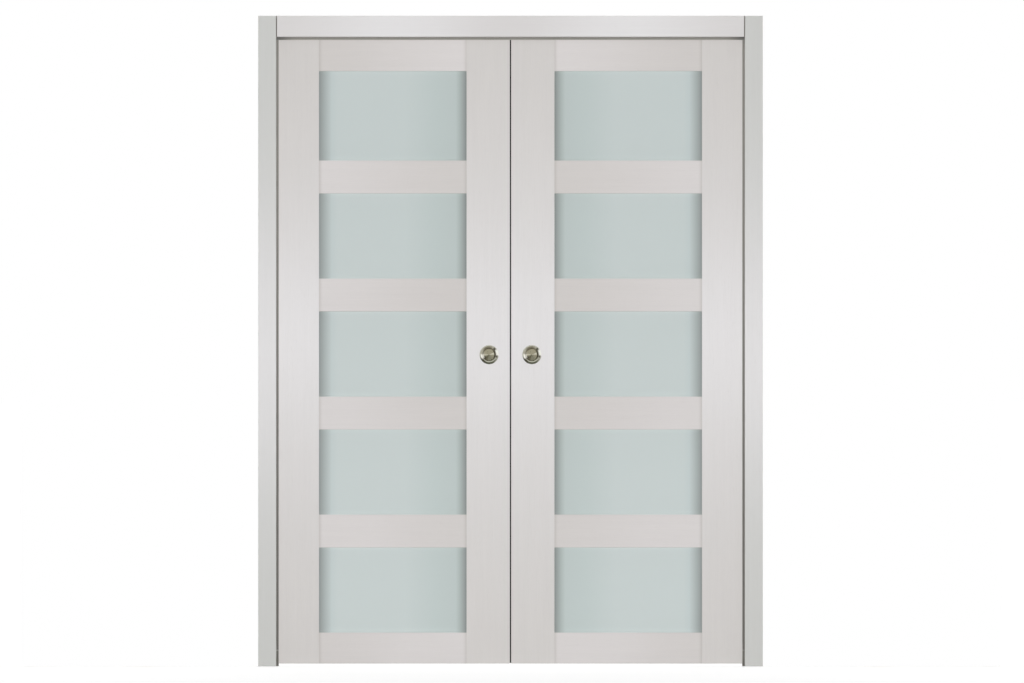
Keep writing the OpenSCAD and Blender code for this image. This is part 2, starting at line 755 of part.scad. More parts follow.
// Wheel section: r from the axle, v across the wheel, with a dished outer side
module wheel_section() {
  bore_r = axle_r + pin_clear;
  difference() {
    union() {
      translate([bore_r, 0]) square([wheel_r - bore_r - tread_round, wheel_w]);
      translate([bore_r, tread_round]) square([wheel_r - bore_r, wheel_w - 2 * tread_round]);
      for (v = [tread_round, wheel_w - tread_round])
        translate([wheel_r - tread_round, v]) circle(tread_round);
    }
    translate([axle_r + hub_w, wheel_w - dish_d])
      square([wheel_r - axle_r - hub_w - rim_w, dish_d + past]);
  }
}

// The pair of wheels on one axle
module wheels(i) color(nylon) both_faces()
  translate([axle_xs[i], wheel_in, axle_z]) rotate([-90, 0, 0]) rotate_extrude() wheel_section();

left() mirror([0, 1, 0]) side_casing();  // left_casing_front
mirror([0, 1, 0]) side_casing();  // right_casing_front
mirror([0, 1, 0]) head_casing();  // head_casing_front
left() side_casing();  // left_casing_back
side_casing();  // right_casing_back
head_casing();  // head_casing_back
side_jambs();
head_jambs();
side_seals();
head_seals();
door_guides();
header_board();
header_nailers();
header_brackets();
track();
track_screws();
centre_stop();
left() split_studs();  // left_split_studs
split_studs();  // right_split_studs
stud_channels();
left() back_stud();  // left_back_stud
back_stud();  // right_back_stud
floor_brackets();
pocket_bumpers();
left() lead_stile();  // left_lead_stile
left() rear_stile();  // left_rear_stile
left() top_rail();  // left_top_rail
left() mid_rails();  // left_mid_rails
left() bottom_rail();  // left_bottom_rail
left() glass();  // left_glass
left() mirror([0, 1, 0]) flush_pull();  // left_front_pull
left() flush_pull();  // left_back_pull
left() edge_pull();  // left_edge_pull
left() hanger_plates();  // left_hanger_plates
left() hanger_screws();  // left_hanger_screws
left() hanger_bolts();  // left_hanger_bolts
left() trolleys();  // left_trolleys
left() axles();  // left_axles
left() wheels(0);  // left_wheels_1
left() wheels(1);  // left_wheels_2
left() wheels(2);  // left_wheels_3
left() wheels(3);  // left_wheels_4
lead_stile();  // right_lead_stile
rear_stile();  // right_rear_stile
top_rail();  // right_top_rail
mid_rails();  // right_mid_rails
bottom_rail();  // right_bottom_rail
glass();  // right_glass
mirror([0, 1, 0]) flush_pull();  // right_front_pull
flush_pull();  // right_back_pull
edge_pull();  // right_edge_pull
hanger_plates();  // right_hanger_plates
hanger_screws();  // right_hanger_screws
hanger_bolts();  // right_hanger_bolts
trolleys();  // right_trolleys
axles();  // right_axles
wheels(0);  // right_wheels_1
wheels(1);  // right_wheels_2
wheels(2);  // right_wheels_3
wheels(3);  // right_wheels_4
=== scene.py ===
import math
import random

import bpy
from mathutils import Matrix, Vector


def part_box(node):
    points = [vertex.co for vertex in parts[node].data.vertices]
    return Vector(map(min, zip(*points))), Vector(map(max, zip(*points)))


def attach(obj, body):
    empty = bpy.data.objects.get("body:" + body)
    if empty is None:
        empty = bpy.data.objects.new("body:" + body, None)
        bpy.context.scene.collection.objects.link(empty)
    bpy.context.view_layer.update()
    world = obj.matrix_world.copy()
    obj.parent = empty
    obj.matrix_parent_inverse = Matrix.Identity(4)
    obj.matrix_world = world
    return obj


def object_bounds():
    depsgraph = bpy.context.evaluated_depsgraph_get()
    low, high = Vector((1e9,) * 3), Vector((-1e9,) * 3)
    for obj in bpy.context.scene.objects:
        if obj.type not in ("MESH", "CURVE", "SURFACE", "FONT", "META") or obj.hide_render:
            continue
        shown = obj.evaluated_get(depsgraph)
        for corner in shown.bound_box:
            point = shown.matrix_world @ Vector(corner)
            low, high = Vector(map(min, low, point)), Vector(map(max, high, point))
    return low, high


# The looks of a double pocket door. Lengths are in metres, in the CAD frame: X runs along the
# wall, Y through it with the front at minus Y, and Z is up. Every CAD solid is shown as it is,
# with a procedural material that works in the frame's own coordinates.
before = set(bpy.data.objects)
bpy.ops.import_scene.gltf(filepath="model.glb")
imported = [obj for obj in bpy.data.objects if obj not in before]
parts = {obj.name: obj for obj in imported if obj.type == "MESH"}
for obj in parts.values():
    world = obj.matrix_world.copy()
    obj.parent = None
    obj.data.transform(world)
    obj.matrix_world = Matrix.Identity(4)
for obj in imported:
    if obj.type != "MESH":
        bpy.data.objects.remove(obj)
cad_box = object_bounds()

# The photograph: its size in pixels, where the doorway's middle and the floor lie in it, its scale
PHOTO_W, PHOTO_H = 1024, 683
MIDDLE_COLUMN, FLOOR_ROW = 510.5, 666.45
METRES_PER_PIXEL = 0.003252

# The camera stands far off, so that perspective hardly shows, and sees past the floor's end
CAMERA_DISTANCE = 90.0
SIGHT_END = 1000.0
SENSOR_MM = 36.0

# The white surroundings: how bright the world's light is and how bright the floor glows, from 0
# to 1, and how far the floor reaches to each side
AMBIENT = 0.24
FLOOR_GLOW = 0.47
FLOOR_REACH = 400.0

# Lamps: name, azimuth, elevation and spread in degrees, and strength
SUNS = (
    ("front", 0, 1, 10, 0.855),
    ("right", 90, 5, 20, 0.45),
    ("left", -90, 5, 20, 0.38),
    ("above", 0, 89, 30, 0.20),
    ("rear", 180, 4, 20, 0.75),
)

# Places that the finishes are fitted to, from the frame
SIDES = ("left", "right")
STILE_LOW, STILE_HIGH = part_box("right_lead_stile")
CASING_LOW, CASING_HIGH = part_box("right_casing_front")
HEAD_LOW, HEAD_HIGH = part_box("head_casing_front")
MID_RAILS_LOW, MID_RAILS_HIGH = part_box("right_mid_rails")
PANE_INNER = STILE_HIGH.x
PANE_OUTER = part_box("right_rear_stile")[0].x
LOWEST_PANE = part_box("right_bottom_rail")[1].z
HIGHEST_PANE_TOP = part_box("right_top_rail")[0].z

# What no node's box gives: the width of the joint between the casings, how far the side seals' free
# edges are from the doorway's middle, and the count of panes under the top one, with their spacing
CASING_JOINT = 0.0026
SEAL_EDGE = 0.7545
LOWER_PANES = 4
PANE_STEP = (MID_RAILS_HIGH.z - LOWEST_PANE) / LOWER_PANES

# Brush strips where the doors meet: the backing's thickness, half the widths of backing, pile and
# tip, and the gap that a strip leaves at the door's top and bottom
BACKING_T = 0.0006
HALF_BACKING = 0.0025
HALF_PILE = 0.0017
HALF_TIP = 0.9 * HALF_PILE
STRIP_END_GAP = 0.002
# Half the gap between two tips, how far from the middle they meet, and how ragged they are, drawn
# anew at so many steps up the door
HALF_TIP_GAP = 0.00015
MEETING_SHIFT = 0.0007
TIP_RAGGED = 0.00012
STRIP_STEPS = 254

# The wall sheet: how far it passes the part's ends and its top, how far it runs behind the casings'
# outer edges, and its gap to their backs
WALL_MARGIN = 0.02
WALL_TOP_MARGIN = 0.005
WALL_LAP = 0.02
WALL_GAP = 0.0005

# Pitch of the lathe's marks in the pulls
LATHE_PITCH = 0.00045


def tone(red, green, blue):
    """The linear colour whose sRGB values, 0 to 255, are these."""
    def linear(value):
        return value / 12.92 if value <= 0.04045 else ((value + 0.055) / 1.055) ** 2.4
    return (*[linear(value / 255) for value in (red, green, blue)], 1.0)


class Finish:
    """A material being made. Its methods add a node each and return that node's output."""

    def __init__(self, name, **sockets):
        self.material = bpy.data.materials.new(name)
        self.material.use_nodes = True
        self.tree = self.material.node_tree
        self.shader = self.tree.nodes["Principled BSDF"]
        self.place = self.tree.nodes.new("ShaderNodeTexCoord").outputs["Object"]
        self.x, self.y, self.z = self.add("ShaderNodeSeparateXYZ", Vector=self.place).outputs
        for socket, value in sockets.items():
            self.put(self.shader.inputs[socket.replace("_", " ")], value)

    def put(self, socket, value):
        """Links a node's output to the socket, or sets the socket to a plain value."""
        if isinstance(value, bpy.types.NodeSocket):
            self.tree.links.new(value, socket)
        else:
            socket.default_value = value

    def add(self, kind, settings=None, **sockets):
        node = self.tree.nodes.new(kind)
        for setting, value in (settings or {}).items():
            setattr(node, setting, value)
        for socket, value in sockets.items():
            self.put(node.inputs[socket.replace("_", " ")], value)
        return node

    def math(self, operation, *values):
        node = self.add("ShaderNodeMath", {"operation": operation})
        for socket, value in zip(node.inputs, values):
            self.put(socket, value)
        return node.outputs[0]

    def product(self, *values):
        result = values[0]
        for value in values[1:]:
            result = self.math("MULTIPLY", result, value)
        return result

    def total(self, *values):
        result = values[0]
        for value in values[1:]:
            result = self.math("ADD", result, value)
        return result

    def step(self, value, low, high, at_low=0.0, at_high=1.0):
        """Goes smoothly from at_low, where value is low, to at_high, where it is high."""
        node = self.add("ShaderNodeMapRange", {"interpolation_type": "SMOOTHSTEP"},
                        Value=value, From_Min=low, From_Max=high, To_Min=at_low, To_Max=at_high)
        return node.outputs[0]

    def bell(self, value, centre, width):
        """1 at the centre, falling off both ways as a normal curve of that width."""
        off = self.math("DIVIDE", self.math("SUBTRACT", value, centre), width)
        return self.math("EXPONENT", self.product(off, off, -0.5))

    def fade(self, value, centre, length):
        """1 at the centre, falling off both ways by a factor of e in each such length."""
        off = self.math("ABSOLUTE", self.math("SUBTRACT", value, centre))
        return self.math("EXPONENT", self.product(off, -1 / length))

    def noise(self, per_metre, detail=2.0, roughness=0.5, distortion=0.0, shift=0.0):
        """Noise of that many cells a metre along X, Y and Z, 0.5 on average."""
        moved = self.add("ShaderNodeVectorMath", {"operation": "MULTIPLY_ADD"})
        self.put(moved.inputs[0], self.place)
        self.put(moved.inputs[1], per_metre)
        self.put(moved.inputs[2], (shift, shift * 1.7, shift * 2.3))
        node = self.add("ShaderNodeTexNoise", Vector=moved.outputs[0], Scale=1.0, Detail=detail,
                        Roughness=roughness, Distortion=distortion)
        return node.outputs["Fac"]

    def ramp(self, value, reach, *stops):
        """Colours between (value, colour) stops, which lie from 0 to the reach."""
        node = self.add("ShaderNodeValToRGB", Fac=self.math("DIVIDE", value, reach))
        elements = node.color_ramp.elements
        while len(elements) < len(stops):
            elements.new(1.0)
        for element, (at, colour) in zip(elements, stops):
            element.position = at / reach
            element.color = colour
        return node.outputs["Color"]

    def mix(self, factor, low, high, blend="MIX"):
        """A colour between low, where the factor is 0, and high, where it is 1."""
        node = self.add("ShaderNodeMix", {"data_type": "RGBA", "blend_type": blend})
        for index, value in ((0, factor), (6, low), (7, high)):
            self.put(node.inputs[index], value)
        return node.outputs[2]

    def scaled(self, colour, factor):
        """The colour times the factor."""
        grey = self.add("ShaderNodeCombineColor", Red=factor, Green=factor, Blue=factor)
        return self.mix(1.0, colour, grey.outputs[0], "MULTIPLY")

    def vary(self, colour, noise, amount):
        """The colour made lighter and darker by up to that amount, as the noise goes."""
        return self.scaled(colour, self.math("MULTIPLY_ADD", noise, 2 * amount, 1 - amount))

    def relief(self, *heights):
        """Bumps from (height, depth in metres) pairs."""
        normal = None
        for height, depth in heights:
            node = self.add("ShaderNodeBump", Height=height, Strength=1.0, Distance=depth)
            if normal:
                self.put(node.inputs["Normal"], normal)
            normal = node.outputs[0]
        self.put(self.shader.inputs["Normal"], normal)

    def colour(self, value):
        self.put(self.shader.inputs["Base Color"], value)

    def roughness(self, value, low, high, smooth, rough):
        """Goes from smooth, where value is low, to rough, where it is high."""
        self.put(self.shader.inputs["Roughness"], self.step(value, low, high, smooth, rough))

    def on(self, *names):
        """Puts the material on these CAD nodes."""
        for name in names:
            for slot in parts[name].material_slots:
                slot.material = self.material


def mesh_piece(name, points, faces, material):
    mesh = bpy.data.meshes.new(name)
    mesh.from_pydata(points, [], faces)
    mesh.materials.append(material)
    piece = bpy.data.objects.new(name, mesh)
    bpy.context.scene.collection.objects.link(piece)
    return piece


def on_both_sides(*endings):
    """The names of nodes that are there on the left and on the right."""
    return [side + ending for side in SIDES for ending in endings]


def cells(axis, along, across):
    """Noise cells a metre, so many along one axis and so many across it."""
    return tuple(along if each == axis else across for each in "xyz")


def grain_cells(axis, across, stretch):
    """Cells a metre for noise that is drawn out along one axis."""
    return cells(axis, across / stretch, across)


def veneer(name, axis, dark, light, painted_light, shift, joints=(), open_joint=None, lift=None):
    """Pale chalky veneer, its grain along the axis.

    Its tone goes from dark to light as a function of the finish says: painted sheen and painted
    light. Lift is a function too, and gives the share of itself that the colour gains, as painted
    light. Painted shade darkens the joints, given by their distances from the middle of the doorway.
    The tongue beyond an open joint is painted dark, as shade.
    """
    finish = Finish(name, Roughness=0.42, Specular_IOR_Level=0.4)
    # Painted sheen and painted light: the tone goes from dark to light as that function says
    base = finish.mix(painted_light(finish), tone(*dark), tone(*light))
    fibre = finish.noise(grain_cells(axis, 950, 90), 3.0, 0.6, shift=shift)
    streak = finish.noise(grain_cells(axis, 75, 30), 2.0, 0.55, 0.3, shift=shift + 5)
    cloud = finish.noise(grain_cells(axis, 9, 4), 1.0, shift=shift + 9)
    pores = finish.step(finish.noise(grain_cells(axis, 1500, 45), 1.0, shift=shift + 3), 0.62, 0.78)
    colour = finish.vary(base, fibre, 0.035)
    colour = finish.vary(colour, streak, 0.022)
    colour = finish.vary(colour, cloud, 0.010)
    colour = finish.mix(finish.product(pores, 0.16), colour, tone(176, 169, 160))
    # Painted shade along the joints
    for joint in joints:
        joint_shade = finish.bell(finish.math("ABSOLUTE", finish.x), joint, 0.005)
        colour = finish.mix(finish.product(joint_shade, 0.36), colour, tone(172, 167, 162))
    # Painted light: the colour is made lighter by the share that lift gives
    if lift:
        colour = finish.scaled(colour, finish.total(1.0, lift(finish)))
    # Painted shade: the tongue seen in the open joint is painted dark
    if open_joint:
        tongue_shade = finish.step(finish.math("ABSOLUTE", finish.x), open_joint - 0.0002, open_joint)
        colour = finish.mix(tongue_shade, colour, tone(124, 120, 114))
    finish.colour(colour)
    finish.roughness(streak, 0.3, 0.7, 0.38, 0.48)
    finish.relief((fibre, 0.00006), (pores, -0.00005))
    return finish


def make_veneers():
    # Painted sheen, brightest at mid-height, and painted light lower down
    def along_stile(finish):
        narrow = finish.bell(finish.z, 1.075, 0.24)
        wide = finish.bell(finish.z, 1.045, 0.60)
        low = finish.step(finish.z, 0.55, 0.85, 0.05, 0.0)
        return finish.total(finish.product(narrow, 0.45), finish.product(wide, 0.55), low)

    # Painted light beside the side seals and near the floor, which offsets the shade there
    def stile_painted_light(finish):
        by_seal = finish.fade(finish.math("ABSOLUTE", finish.x), SEAL_EDGE, 0.006)
        by_floor = finish.fade(finish.z, STILE_LOW.z, 0.030)
        return finish.total(finish.product(by_seal, 0.11), finish.product(by_floor, 0.045))

    # Painted sheen, brightest at mid-height
    def along_casing(finish):
        return finish.bell(finish.z, 1.03, 0.35)

    # Painted light, lighter towards the floor
    def lower_down(finish):
        return finish.step(finish.z, 0.0, 1.2, 0.40, 0.0)

    # Painted sheen across the rail, lighter outwards, and painted light lower down
    def outwards(finish):
        across = finish.step(finish.math("ABSOLUTE", finish.x), PANE_INNER, PANE_OUTER)
        return finish.total(across, lower_down(finish))

    # Painted sheen across the rail, lighter inwards, and painted light lower down
    def inwards(finish):
        across = finish.step(finish.math("ABSOLUTE", finish.x), PANE_INNER, PANE_OUTER, 1.0, 0.0)
        return finish.total(across, lower_down(finish))

    # Painted sheen in two broad bands along the head
    def along_head(finish):
        turns = finish.math("MULTIPLY", finish.x, 2 * math.pi / HEAD_HIGH.x)
        return finish.math("MULTIPLY_ADD", finish.math("COSINE", turns), -0.5, 0.5)

    # Each veneer's tones run from its darker tone to its tone under the painted sheen and light
    stile_tones = (204, 200.5, 197.5), (226.5, 224.5, 225)
    rail_tones = (206.5, 202.5, 200), (215.5, 211.5, 210.5)
    casing_tones = (199, 199.5, 197), (223.5, 222, 222.5)
    head_tones = (213.5, 211, 210.5), (224, 222.5, 223)
    side_jamb_tones = (200, 199, 197), (216, 215, 214)
    head_jamb_tones = (206, 204, 203), (214, 213, 212)
    # The rails' joints, which get painted shade
    rail_joints = PANE_INNER, PANE_OUTER
    # The tongue that is painted dark as shade in the open joint
    tongue = HEAD_HIGH.x - CASING_JOINT
    for index, side in enumerate(SIDES):
        stiles = veneer(side + "_stiles", "z", *stile_tones, along_stile, 11 + index, lift=stile_painted_light)
        stiles.on(side + "_lead_stile", side + "_rear_stile")
        end_rails = veneer(side + "_end_rails", "x", *rail_tones, inwards, 21 + index, rail_joints)
        end_rails.on(side + "_top_rail", side + "_bottom_rail")
        mid_rails = veneer(side + "_inner_rails", "x", *rail_tones, outwards, 31 + index, rail_joints)
        mid_rails.on(side + "_mid_rails")
        casings = veneer(side + "_side_casings", "z", *casing_tones, along_casing, 41 + index)
        casings.on(side + "_casing_front", side + "_casing_back")
    head_casings = veneer("head_casings", "x", *head_tones, along_head, 51, open_joint=tongue)
    head_casings.on("head_casing_front", "head_casing_back")
    veneer("side_jamb_veneer", "z", *side_jamb_tones, along_casing, 61).on("side_jambs")
    veneer("head_jamb_veneer", "x", *head_jamb_tones, along_head, 62).on("head_jambs")


def make_glass():
    """Etched glass, pale green and a little lighter towards the floor.

    Painted shade darkens it where it enters the stiles. Painted light makes it a little lighter over
    and under the rails, and its lightening towards the floor is painted light too.
    """
    clear = 194, 203, 202

    def shade(*colour):
        return tuple(part / whole for part, whole in zip(tone(*colour), tone(*clear)))

    for side in SIDES:
        finish = Finish(side + "_etched_glass", Roughness=0.45, Specular_IOR_Level=0.5, IOR=1.5)
        across = finish.math("ABSOLUTE", finish.x)
        # Painted light: lighter towards the floor
        body = finish.mix(finish.step(finish.z, 0.1, 1.9), tone(200, 209, 208), tone(195, 204, 203))
        # Painted shade where the glass enters the stiles
        outer = finish.ramp(finish.math("SUBTRACT", PANE_OUTER, across), 0.10,
                            (0.0, shade(140, 146, 145)), (0.041, shade(190, 200, 199.5)),
                            (0.060, shade(*clear)))
        inner = finish.ramp(finish.math("SUBTRACT", across, PANE_INNER), 0.25,
                            (0.0, shade(136, 141, 140)), (0.023, shade(171, 181, 179)),
                            (0.035, shade(184.5, 194.5, 193)), (0.100, shade(187, 197.5, 196)),
                            (0.200, shade(*clear)))
        edge_shade = finish.mix(1.0, outer, inner, "MULTIPLY")
        lows = [LOWEST_PANE + index * PANE_STEP for index in range(LOWER_PANES + 1)]
        tops = [MID_RAILS_LOW.z + index * PANE_STEP for index in range(LOWER_PANES)]
        # Painted light over and under the rails, which offsets the shade there
        over_rails = finish.total(*(finish.fade(finish.z, low, 0.009) for low in lows))
        under_rails = finish.total(*(finish.fade(finish.z, top, 0.003)
                                     for top in (*tops, HIGHEST_PANE_TOP)))
        painted_light = finish.total(1.0, finish.product(over_rails, 0.15), finish.product(under_rails, 0.13))
        etch = finish.noise((2600, 2600, 2600), 2.0, 0.6, shift=71)
        colour = finish.scaled(finish.mix(1.0, body, edge_shade, "MULTIPLY"), painted_light)
        finish.colour(finish.vary(colour, etch, 0.012))
        finish.relief((etch, 0.00003))
        finish.on(side + "_glass")


def pull_finish(name, facing):
    """Satin nickel, turned on a lathe round the pull's own axis.

    Painted reflections and highlights are laid on as they look from the side that it faces: 1 for
    the front, -1 for the back.
    """
    low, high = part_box(name)
    centre = (low + high) / 2
    radius = (high.x - low.x) / 2
    finish = Finish(name + "_nickel", Metallic=1.0, Roughness=0.30, Anisotropic=0.55)
    across = finish.math("MULTIPLY", finish.math("SUBTRACT", finish.x, centre.x), facing)
    up = finish.math("SUBTRACT", finish.z, centre.z)
    far = finish.math("SQRT", finish.total(finish.product(across, across), finish.product(up, up)))
    share = finish.math("DIVIDE", far, radius)

    def towards(degrees, spread):
        """1 in that direction from the axis, counted from the right, fading to 0 at the spread."""
        angle = math.radians(degrees)
        ahead = finish.total(finish.product(across, math.cos(angle)),
                             finish.product(up, math.sin(angle)))
        cosine = finish.math("DIVIDE", ahead, finish.math("MAXIMUM", far, 1e-5))
        return finish.step(cosine, math.cos(math.radians(spread)), 1.0)

    def ring(inner, outer):
        """1 between those shares of the pull's radius, with soft edges."""
        soft = 0.03
        return finish.product(finish.step(share, inner - soft, inner + soft),
                              finish.step(share, outer - soft, outer + soft, 1.0, 0.0))

    turning = finish.math("SINE", finish.product(far, 2 * math.pi / LATHE_PITCH))
    wear = finish.noise((220, 220, 220), 3.0, 0.6, shift=81)
    # Painted reflections and highlights: each masked part of the pull gets its own tone
    cup = ring(-1.0, 0.70)
    painted_reflections = (
        (finish.product(cup, towards(262, 95)), tone(126, 124, 106)),
        (finish.product(cup, towards(232, 30)), tone(98, 94, 76)),
        (finish.product(ring(0.40, 0.60), towards(214, 17)), tone(80, 76, 66)),
        (finish.product(cup, towards(12, 16)), tone(205, 202, 184)),
        (finish.product(ring(0.12, 0.60), towards(180, 16)), tone(190, 186, 166)),
        (finish.product(ring(0.56, 0.70), towards(100, 56)), tone(138, 131, 110)),
        (finish.product(ring(0.53, 0.68), towards(2, 60)), tone(78, 74, 62)),
        (ring(0.72, 1.20), tone(188, 186, 172)),
        (finish.product(ring(0.67, 0.89), towards(104, 58)), tone(126, 121, 102)),
        (finish.product(ring(0.70, 0.93), towards(41, 20)), tone(76, 72, 57)),
        (finish.product(ring(0.71, 0.78), towards(268, 60)), tone(206, 205, 188)),
        (finish.product(ring(0.79, 1.20), towards(266, 92)), tone(84, 86, 70)),
        (finish.product(ring(0.77, 1.20), towards(222, 28)), tone(72, 71, 58)),
        (finish.product(ring(0.95, 1.20), towards(-30, 30)), tone(164, 162, 150)),
        (finish.product(ring(0.76, 1.20), towards(14, 31)), tone(240, 239, 232)),
        (finish.product(ring(0.72, 0.92), towards(-14, 12)), tone(96, 92, 80)),
        (finish.product(ring(0.55, 0.95), towards(163, 17)), tone(168, 164, 148)),
        (finish.product(ring(0.57, 0.87), towards(194, 24)), tone(252, 249, 240)),
    )
    colour = tone(155, 150, 128)
    for mask, reflection_tone in painted_reflections:
        colour = finish.mix(mask, colour, reflection_tone)
    finish.colour(finish.vary(colour, wear, 0.03))
    finish.roughness(wear, 0.3, 0.7, 0.26, 0.36)
    tangent = finish.add("ShaderNodeTangent", {"direction_type": "RADIAL", "axis": "Y"})
    finish.put(finish.shader.inputs["Tangent"], tangent.outputs[0])
    finish.relief((turning, 0.000004), (wear, 0.00001))
    finish.on(name)


def make_pulls():
    for side in SIDES:
        pull_finish(side + "_front_pull", 1.0)
        pull_finish(side + "_back_pull", -1.0)
        finish = Finish(side + "_edge_pull_nickel", Metallic=1.0, Roughness=0.32)
        brushed = finish.noise((900, 900, 14), 2.0, 0.6, shift=85)
        finish.colour(finish.vary(tone(164, 158, 138), brushed, 0.06))
        finish.roughness(brushed, 0.3, 0.7, 0.26, 0.40)
        finish.relief((brushed, 0.00001))
        finish.on(side + "_edge_pull")


def make_seals():
    """Brush pile of short fibres, uneven in tone; painted shade darkens the head seals' ends and
    middle.
    """
    for name, along in (("side_seals", "z"), ("head_seals", "x")):
        finish = Finish(name + "_pile", Roughness=0.95, Specular_IOR_Level=0.15, Sheen_Weight=0.3)
        fibres = finish.noise(cells(along, 2600, 260), 2.0, 0.7, shift=91)
        tufts = finish.noise(cells(along, 420, 60), 2.0, shift=93)
        if along == "z":
            # Side seals: darker towards the floor
            base = finish.mix(finish.step(finish.z, 0.0, 2.0),
                              tone(112, 109, 105), tone(140, 137, 132))
        else:
            # Head seals: painted shade towards their ends, in the corners by the side casings
            base = finish.mix(finish.step(finish.math("ABSOLUTE", finish.x), 0.70, 0.752),
                              tone(160, 158, 152), tone(120, 119, 116))
            # Painted shade along the middle of the strip, under the head casing
            crease_shade = finish.bell(finish.z, HEAD_LOW.z - 0.0050, 0.0018)
            base = finish.mix(finish.product(crease_shade, 0.5), base, tone(104, 102, 98))
        finish.colour(finish.vary(finish.vary(base, fibres, 0.22), tufts, 0.10))
        finish.relief((fibres, 0.0003), (tufts, 0.0004))
        finish.on(name)


def pile_strip(name, sign, facing):
    """A brush strip down a door's leading edge, beside the edge pull.

    Sign is -1 for the left door and 1 for the right one, facing -1 for the front and 1 for the
    back. The strip is a flat backing under a ragged pile. The right door's strips are the longer
    ones at the front and the left door's at the back, so that no light comes straight through
    where they meet.
    """
    edge = STILE_LOW.x
    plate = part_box("right_edge_pull")[1].y
    middle = (plate + STILE_HIGH.y) / 2
    low, high = STILE_LOW.z + STRIP_END_GAP, STILE_HIGH.z - STRIP_END_GAP
    reach = edge - HALF_TIP_GAP - MEETING_SHIFT * sign * facing
    outline = ((0.0, -HALF_BACKING), (BACKING_T, -HALF_BACKING), (BACKING_T, -HALF_PILE),
               (reach, -HALF_TIP), (reach, HALF_TIP), (BACKING_T, HALF_PILE),
               (BACKING_T, HALF_BACKING), (0.0, HALF_BACKING))
    draws = random.Random(name)
    points, faces = [], []
    for step in range(STRIP_STEPS + 1):
        z = low + (high - low) * step / STRIP_STEPS
        for out, across in outline:
            if out == reach:
                out -= draws.uniform(0.0, TIP_RAGGED)
                across += draws.uniform(-TIP_RAGGED, TIP_RAGGED)
            points.append((sign * (edge - out), facing * (middle + across), z))
    corners = len(outline)
    for step in range(STRIP_STEPS):
        for corner in range(corners):
            after = (corner + 1) % corners
            quad = (corner, after, corners + after, corners + corner)
            faces.append(tuple(step * corners + index for index in quad))
    faces.append(tuple(range(corners - 1, -1, -1)))
    faces.append(tuple(STRIP_STEPS * corners + corner for corner in range(corners)))
    # Where the outline is mirrored just once, its rings run the other way round
    if sign * facing > 0:
        faces = [ring[::-1] for ring in faces]
    return points, faces


def make_meeting_piles():
    """Brush strips on both leading edges, which close the gap where the doors meet."""
    finish = Finish("meeting_pile", Roughness=0.95, Specular_IOR_Level=0.1)
    fibres = finish.noise(cells("z", 2600, 260), 2.0, 0.7, shift=95)
    # Painted shade: the pile's own dark grey is laid near black, standing for the shade in the gap
    # where the doors meet
    base = finish.mix(finish.step(fibres, 0.3, 0.8), tone(22, 22, 22), tone(46, 45, 44))
    finish.colour(finish.vary(base, fibres, 0.2))
    finish.relief((fibres, 0.0002))
    for side, sign in (("left", -1), ("right", 1)):
        for where, facing in (("front", -1), ("back", 1)):
            name = side + "_meeting_pile_" + where
            piece = mesh_piece(name, *pile_strip(name, sign, facing), finish.material)
            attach(piece, side + "_door")


def rubber(name, dark, light, *names):
    """Moulded rubber with a fine speckle, paler where it has bloomed."""
    finish = Finish(name, Roughness=0.62, Specular_IOR_Level=0.35)
    speckle = finish.noise((1800, 1800, 1800), 3.0, 0.6, shift=101)
    bloom = finish.noise((40, 40, 40), 2.0, shift=103)
    base = finish.mix(finish.step(bloom, 0.4, 0.75), tone(*dark), tone(*light))
    finish.colour(finish.vary(base, speckle, 0.15))
    finish.roughness(speckle, 0.3, 0.7, 0.55, 0.70)
    finish.relief((speckle, 0.00004))
    finish.on(*names)


def make_rubber():
    rubber("moulded_rubber", (44, 44, 44), (62, 61, 59), "pocket_bumpers", "centre_stop")
    rubber("guide_rubber", (104, 102, 97), (116, 114, 109), "door_guides")


def timber(name, axis, shift, *names):
    """Planed softwood: long growth rings, darker latewood, a few knots and planer marks."""
    finish = Finish(name, Roughness=0.6, Specular_IOR_Level=0.3)
    bend = finish.noise(grain_cells(axis, 14, 7), 2.0, 0.5, shift=shift)
    rings = finish.noise(grain_cells(axis, 150, 70), 2.0, 0.55, 0.8, shift=shift + 2)
    fibre = finish.noise(grain_cells(axis, 1100, 70), 2.0, 0.6, shift=shift + 4)
    waves = finish.math("SINE", finish.math("MULTIPLY_ADD", bend, 60.0, finish.product(rings, 9.0)))
    late = finish.step(waves, 0.1, 1.0)
    drawn_out = finish.add("ShaderNodeVectorMath", {"operation": "MULTIPLY"})
    finish.put(drawn_out.inputs[0], finish.place)
    finish.put(drawn_out.inputs[1], cells(axis, 3.2, 9.0))
    spots = finish.add("ShaderNodeTexVoronoi", {"feature": "F1"}, Vector=drawn_out.outputs[0],
                       Scale=1.0)
    knot = finish.step(spots.outputs["Distance"], 0.06, 0.13, 1.0, 0.0)
    halo = finish.step(spots.outputs["Distance"], 0.10, 0.30, 1.0, 0.0)
    colour = finish.mix(finish.product(late, 0.55), tone(226, 198, 150), tone(196, 152, 98))
    colour = finish.mix(finish.product(halo, 0.35), colour, tone(190, 140, 88))
    colour = finish.mix(finish.product(knot, 0.85), colour, tone(112, 70, 40))
    finish.colour(finish.vary(finish.vary(colour, fibre, 0.06), bend, 0.08))
    finish.roughness(fibre, 0.3, 0.7, 0.52, 0.68)
    finish.relief((fibre, 0.00012), (waves, 0.00006))
    finish.on(*names)


def make_timber():
    timber("pine_uprights", "z", 111, *on_both_sides("_split_studs", "_back_stud"))
    timber("pine_header", "x", 121, "header_board", "header_nailers")


